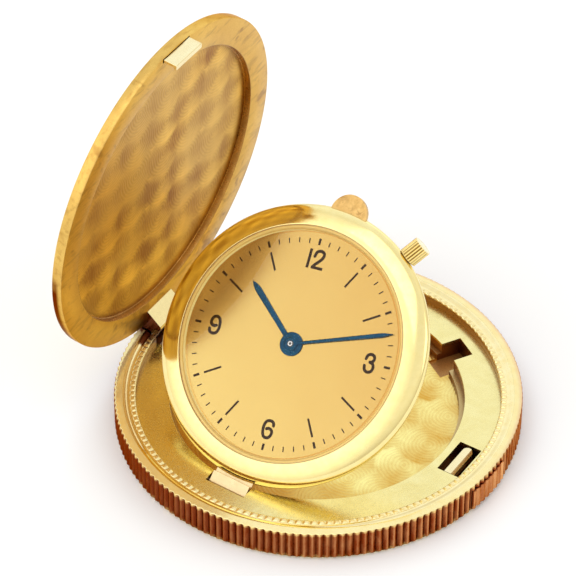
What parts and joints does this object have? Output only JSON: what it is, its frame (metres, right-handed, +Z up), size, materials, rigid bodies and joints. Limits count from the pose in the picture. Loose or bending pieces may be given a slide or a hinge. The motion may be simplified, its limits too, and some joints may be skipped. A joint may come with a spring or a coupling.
{
  "type": "coin watch",
  "caption": "Thin round watch hinged inside a hollowed reeded coin with a flip-up lid, shown open with the watch head raised.",
  "frame": {"origin": "centre of the coin's flat bottom face", "axes": "+Z up out of the coin, +X from the coin's centre towards the lid catch and push piece, -X towards the lid hinge, -Y towards the watch head's hinge"},
  "size_m": [0.0341, 0.034, 0.0332],
  "materials": {
    "gold_coin": "polished",
    "gold_cradle": "satin",
    "satin_gold": "satin",
    "perlage_gold": "circular-grained",
    "steel_pin": "polished",
    "copper_edge": "satin",
    "polished_gold": "polished",
    "spring_steel": "polished",
    "gold_lid": "satin, circular-grained recess",
    "gold_case": "polished",
    "crystal_glass": "clear",
    "gasket_dark": "matt",
    "dial_gilt": "matt gilt",
    "dial_ink": "printed",
    "blued_steel": "blued",
    "movement_plate": "striped satin",
    "brass_wheel": "satin",
    "steel_wheel": "polished",
    "ruby_jewel": "clear"
  },
  "bodies": {
    "coin_base": {"coin_body": "gold_coin", "cradle_ring": "gold_cradle", "cover_plate": "satin_gold", "cradle_floor": "perlage_gold", "lid_hinge_pin": "steel_pin", "head_hinge_pin": "steel_pin", "catch_pivot": "steel_pin", "catch_spring": "spring_steel", "lid_spring": "spring_steel"},
    "push_button": {"push_piece": "copper_edge"},
    "catch_bar": {"catch_lever": "polished_gold"},
    "lid": {"lid_disc": "gold_lid", "lid_hinge_lug": "polished_gold", "lid_catch_hook": "polished_gold"},
    "watch_head": {"case_back": "gold_case", "bezel": "polished_gold", "crystal": "crystal_glass", "crystal_gasket": "gasket_dark", "rehaut_ring": "polished_gold", "thumb_tab": "satin_gold", "head_hinge_lug": "polished_gold", "crown_tube": "steel_pin", "dial": "dial_gilt", "minute_track": "dial_ink", "hour_batons": "dial_ink", "numerals": "dial_ink", "main_plate": "movement_plate", "barrel_bridge": "movement_plate", "train_bridge": "movement_plate", "balance_cock": "movement_plate", "bridge_screws": "blued_steel", "jewels": "ruby_jewel", "hairspring": "blued_steel"},
    "minute_works": {"minute_hand": "blued_steel", "cannon_pinion": "steel_wheel"},
    "centre_works": {"centre_wheel": "brass_wheel"},
    "hour_works": {"hour_hand": "blued_steel", "hour_wheel": "brass_wheel"},
    "minute_wheel_works": {"minute_wheel": "brass_wheel"},
    "barrel_drum": {"barrel": "brass_wheel"},
    "winding_arbor": {"barrel_arbor": "steel_pin", "ratchet_wheel": "steel_wheel", "mainspring": "spring_steel"},
    "crown_wheel_works": {"crown_wheel": "steel_wheel"},
    "third_works": {"third_wheel": "brass_wheel"},
    "fourth_works": {"fourth_wheel": "brass_wheel"},
    "escape_works": {"escape_wheel": "steel_wheel"},
    "pallet_works": {"pallet_fork": "steel_wheel"},
    "balance_works": {"balance_wheel": "brass_wheel"},
    "stem_yoke": {"setting_lever": "steel_pin"},
    "crown_and_stem": {"winding_stem": "steel_pin", "crown": "gold_case"},
    "pinion_works": {"winding_pinion": "steel_wheel"}
  },
  "joints": [
    {"name": "lid_hinge", "type": "hinge", "parent": "coin_base", "child": "lid", "pos_m": [-0.01631, 0, 0.00201], "axis": [0, -1, 0], "range_deg": [-76, 3], "stiffness_Nm_per_rad": 0.00087, "springref_deg": 14.61},
    {"name": "head_hinge", "type": "hinge", "parent": "coin_base", "child": "watch_head", "pos_m": [-0.00053, -0.01264, 0.00136], "axis": [0.9997, -0.023, 0], "range_deg": [-42.6, 1.7]},
    {"name": "push_slide", "type": "slide", "parent": "coin_base", "child": "push_button", "axis": [-0.9991, 0.0419, 0], "range_m": [0, 0.00016], "stiffness_N_per_m": 400},
    {"name": "catch_swing", "type": "hinge", "parent": "coin_base", "child": "catch_bar", "pos_m": [0.01372, -0.0043, 0.00139], "axis": [0, 0, 1], "range_deg": [0, 5]},
    {"name": "minute_turn", "type": "hinge", "parent": "watch_head", "child": "minute_works", "pos_m": [-0.00031, -0.00309, 0.00992], "axis": [0.0156, 0.6767, -0.7361], "continuous": true},
    {"name": "hour_turn", "type": "hinge", "parent": "watch_head", "child": "hour_works", "pos_m": [-0.00031, -0.00309, 0.00992], "axis": [0.0156, 0.6767, -0.7361], "continuous": true},
    {"name": "minute_wheel_turn", "type": "hinge", "parent": "watch_head", "child": "minute_wheel_works", "pos_m": [-0.00193, -0.00394, 0.00911], "axis": [0.0156, 0.6767, -0.7361], "continuous": true},
    {"name": "centre_turn", "type": "hinge", "parent": "watch_head", "child": "centre_works", "pos_m": [-0.00031, -0.00309, 0.00992], "axis": [0.0156, 0.6767, -0.7361], "continuous": true},
    {"name": "barrel_turn", "type": "hinge", "parent": "watch_head", "child": "barrel_drum", "pos_m": [-0.00427, -0.0013, 0.01149], "axis": [0.0156, 0.6767, -0.7361], "continuous": true},
    {"name": "third_turn", "type": "hinge", "parent": "watch_head", "child": "third_works", "pos_m": [0.00109, -0.00496, 0.00824], "axis": [0.0156, 0.6767, -0.7361], "continuous": true},
    {"name": "fourth_turn", "type": "hinge", "parent": "watch_head", "child": "fourth_works", "pos_m": [0.00359, -0.00535, 0.00794], "axis": [0.0156, 0.6767, -0.7361], "continuous": true},
    {"name": "escape_turn", "type": "hinge", "parent": "watch_head", "child": "escape_works", "pos_m": [0.00527, -0.00436, 0.00887], "axis": [0.0156, 0.6767, -0.7361], "continuous": true},
    {"name": "balance_swing", "type": "hinge", "parent": "watch_head", "child": "balance_works", "pos_m": [0.00534, -0.00123, 0.01175], "axis": [0.0156, 0.6767, -0.7361], "range_deg": [-135, 135], "stiffness_Nm_per_rad": 0.000000004},
    {"name": "pallet_swing", "type": "hinge", "parent": "watch_head", "child": "pallet_works", "pos_m": [0.0055, -0.00282, 0.0103], "axis": [0.0156, 0.6767, -0.7361], "range_deg": [-5.4, 5.4]},
    {"name": "crown_pull", "type": "slide", "parent": "watch_head", "child": "stem_yoke", "axis": [0.5055, 0.6298, 0.5897], "range_m": [0, 0.00035]},
    {"name": "crown_turn", "type": "hinge", "parent": "stem_yoke", "child": "crown_and_stem", "pos_m": [0.00576, 0.00455, 0.01691], "axis": [0.5055, 0.6298, 0.5897], "continuous": true},
    {"name": "pinion_turn", "type": "hinge", "parent": "watch_head", "child": "pinion_works", "pos_m": [0.00576, 0.00455, 0.01691], "axis": [0.5055, 0.6298, 0.5897], "continuous": true},
    {"name": "crown_wheel_turn", "type": "hinge", "parent": "watch_head", "child": "crown_wheel_works", "pos_m": [0.00126, -0.00114, 0.01175], "axis": [0.0156, 0.6767, -0.7361], "continuous": true},
    {"name": "ratchet_turn", "type": "hinge", "parent": "watch_head", "child": "winding_arbor", "pos_m": [-0.00427, -0.0013, 0.01149], "axis": [0.0156, 0.6767, -0.7361], "continuous": true}
  ],
  "couplings": [
    {"joint": "head_hinge", "follows": "lid_hinge", "ratio": 0.56},
    {"joint": "catch_swing", "follows": "push_slide", "rad_per_m": 545},
    {"joint": "hour_turn", "follows": "minute_turn", "ratio": 0.083333},
    {"joint": "minute_wheel_turn", "follows": "minute_turn", "ratio": -0.33333},
    {"joint": "centre_turn", "follows": "fourth_turn", "ratio": 0.016667},
    {"joint": "barrel_turn", "follows": "fourth_turn", "ratio": -0.0027778},
    {"joint": "third_turn", "follows": "fourth_turn", "ratio": -0.13333},
    {"joint": "escape_turn", "follows": "fourth_turn", "ratio": -10},
    {"joint": "pallet_swing", "follows": "balance_swing", "ratio": 0.04},
    {"joint": "pinion_turn", "follows": "crown_turn", "ratio": 1},
    {"joint": "crown_wheel_turn", "follows": "crown_turn", "ratio": -0.28571},
    {"joint": "ratchet_turn", "follows": "crown_turn", "ratio": 0.27273}
  ]
}
